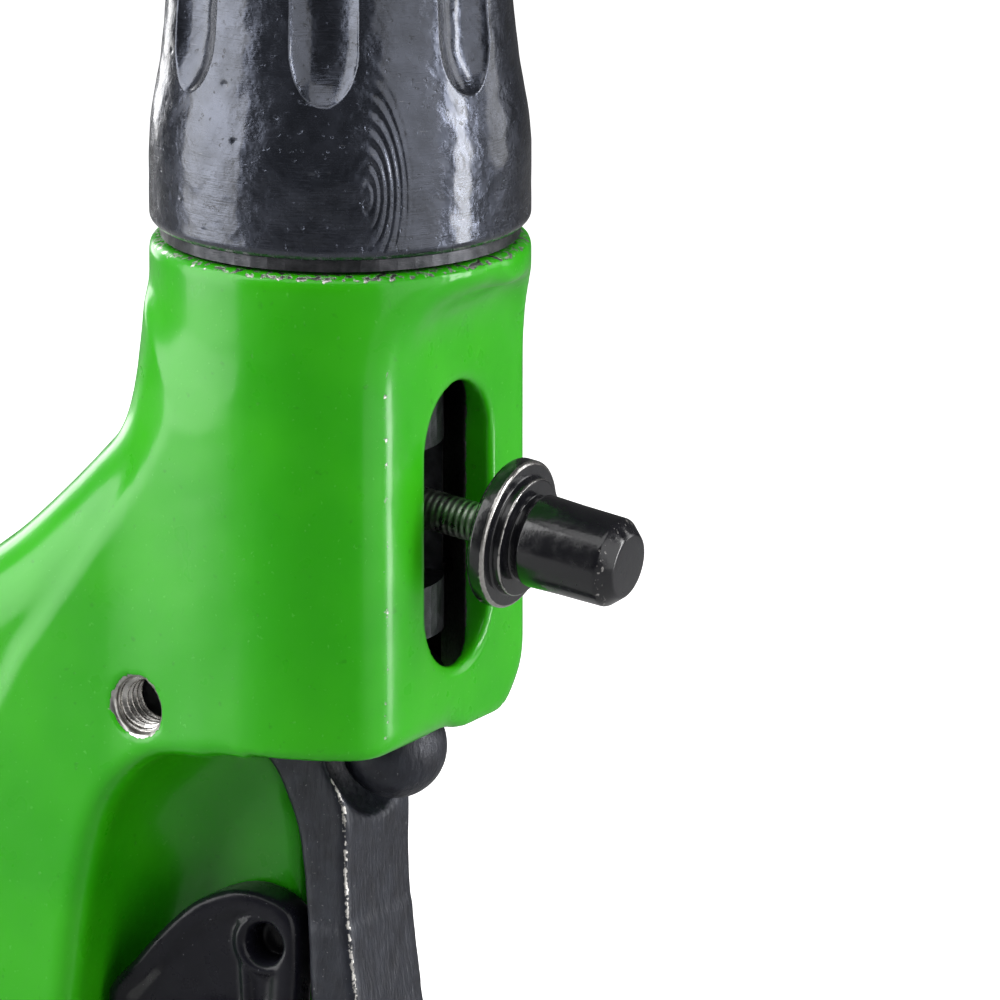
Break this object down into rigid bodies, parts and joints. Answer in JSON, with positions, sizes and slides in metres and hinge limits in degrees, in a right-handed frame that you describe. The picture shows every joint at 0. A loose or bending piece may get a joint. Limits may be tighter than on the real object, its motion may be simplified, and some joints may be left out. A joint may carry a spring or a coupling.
{
  "type": "hand riveter",
  "caption": "Plier-type hand riveter: cast body with fixed handle, forged lever, slotted head with a finger pin on the draw tube, fluted nose sleeve and nosepiece.",
  "frame": {"origin": "centre of the bottom of the bounding box at rest, with the handles closed", "axes": "+Z along the head towards the nose, +X from the fixed handle towards the lever and out of the flat with the slot, Y across the handles"},
  "size_m": [0.0724, 0.0322, 0.2385],
  "materials": {
    "green_paint": "glossy enamel over a casting",
    "black_casting": "semi-gloss black over a rough casting",
    "forged_black": "blackened forging, satin",
    "black_enamel": "glossy black",
    "dark_steel": "blackened, oiled",
    "bright_steel": "turned and zinc plated",
    "hard_steel": "ground, hardened",
    "spring_steel": "bright wire",
    "gloss_plastic": "moulded, glossy",
    "grip_rubber": "matt, ribbed"
  },
  "bodies": {
    "body": {"body_casting": "green_paint", "handle_insert_near": "gloss_plastic", "handle_insert_far": "gloss_plastic", "insert_screw_near": "bright_steel", "insert_screw_far": "bright_steel", "spare_nosepiece_1": "bright_steel", "spare_nosepiece_2": "bright_steel", "spare_nosepiece_3": "bright_steel", "handle_grip": "grip_rubber", "lever_pivot_bolt": "dark_steel", "head_ring": "dark_steel"},
    "lever": {"lever": "forged_black", "lever_grip": "grip_rubber", "toe_pin": "hard_steel"},
    "draw": {"draw_tube": "dark_steel", "mandrel_guide": "hard_steel", "jaw_case": "hard_steel", "pusher_spring": "spring_steel"},
    "jaws": {"jaw_1": "hard_steel", "jaw_2": "hard_steel", "jaw_3": "hard_steel", "jaw_pusher": "hard_steel"},
    "sleeve": {"nose_sleeve": "black_casting"},
    "nose": {"nosepiece": "bright_steel"},
    "finger_pin": {"pin_stem": "bright_steel", "pin_knob": "black_enamel"}
  },
  "joints": [
    {"name": "lever_hinge", "type": "hinge", "parent": "body", "child": "lever", "pos_m": [-0.00392, 0, 0.14767], "axis": [0, 1, 0], "range_deg": [-32, 0]},
    {"name": "draw_slide", "type": "slide", "parent": "body", "child": "draw", "axis": [0, 0, 1], "range_m": [0, 0.0088]},
    {"name": "jaw_retract", "type": "slide", "parent": "draw", "child": "jaws", "axis": [0, 0, -1], "range_m": [0, 0.002], "deforming": ["pusher_spring"]},
    {"name": "sleeve_turn", "type": "hinge", "parent": "body", "child": "sleeve", "pos_m": [0.00808, 0, 0.18717], "axis": [0, 0, 1], "continuous": true},
    {"name": "nosepiece_turn", "type": "hinge", "parent": "sleeve", "child": "nose", "pos_m": [0.00808, 0, 0.22917], "axis": [0, 0, 1], "continuous": true},
    {"name": "pin_press", "type": "slide", "parent": "draw", "child": "finger_pin", "axis": [-0.9909, 0, 0.1349], "range_m": [0, 0.0025], "stiffness_N_per_m": 400}
  ],
  "couplings": [
    {"joint": "draw_slide", "follows": "lever_hinge", "m_per_rad": -0.015685},
    {"joint": "jaw_retract", "follows": "lever_hinge", "m_per_rad": -0.00358}
  ]
}
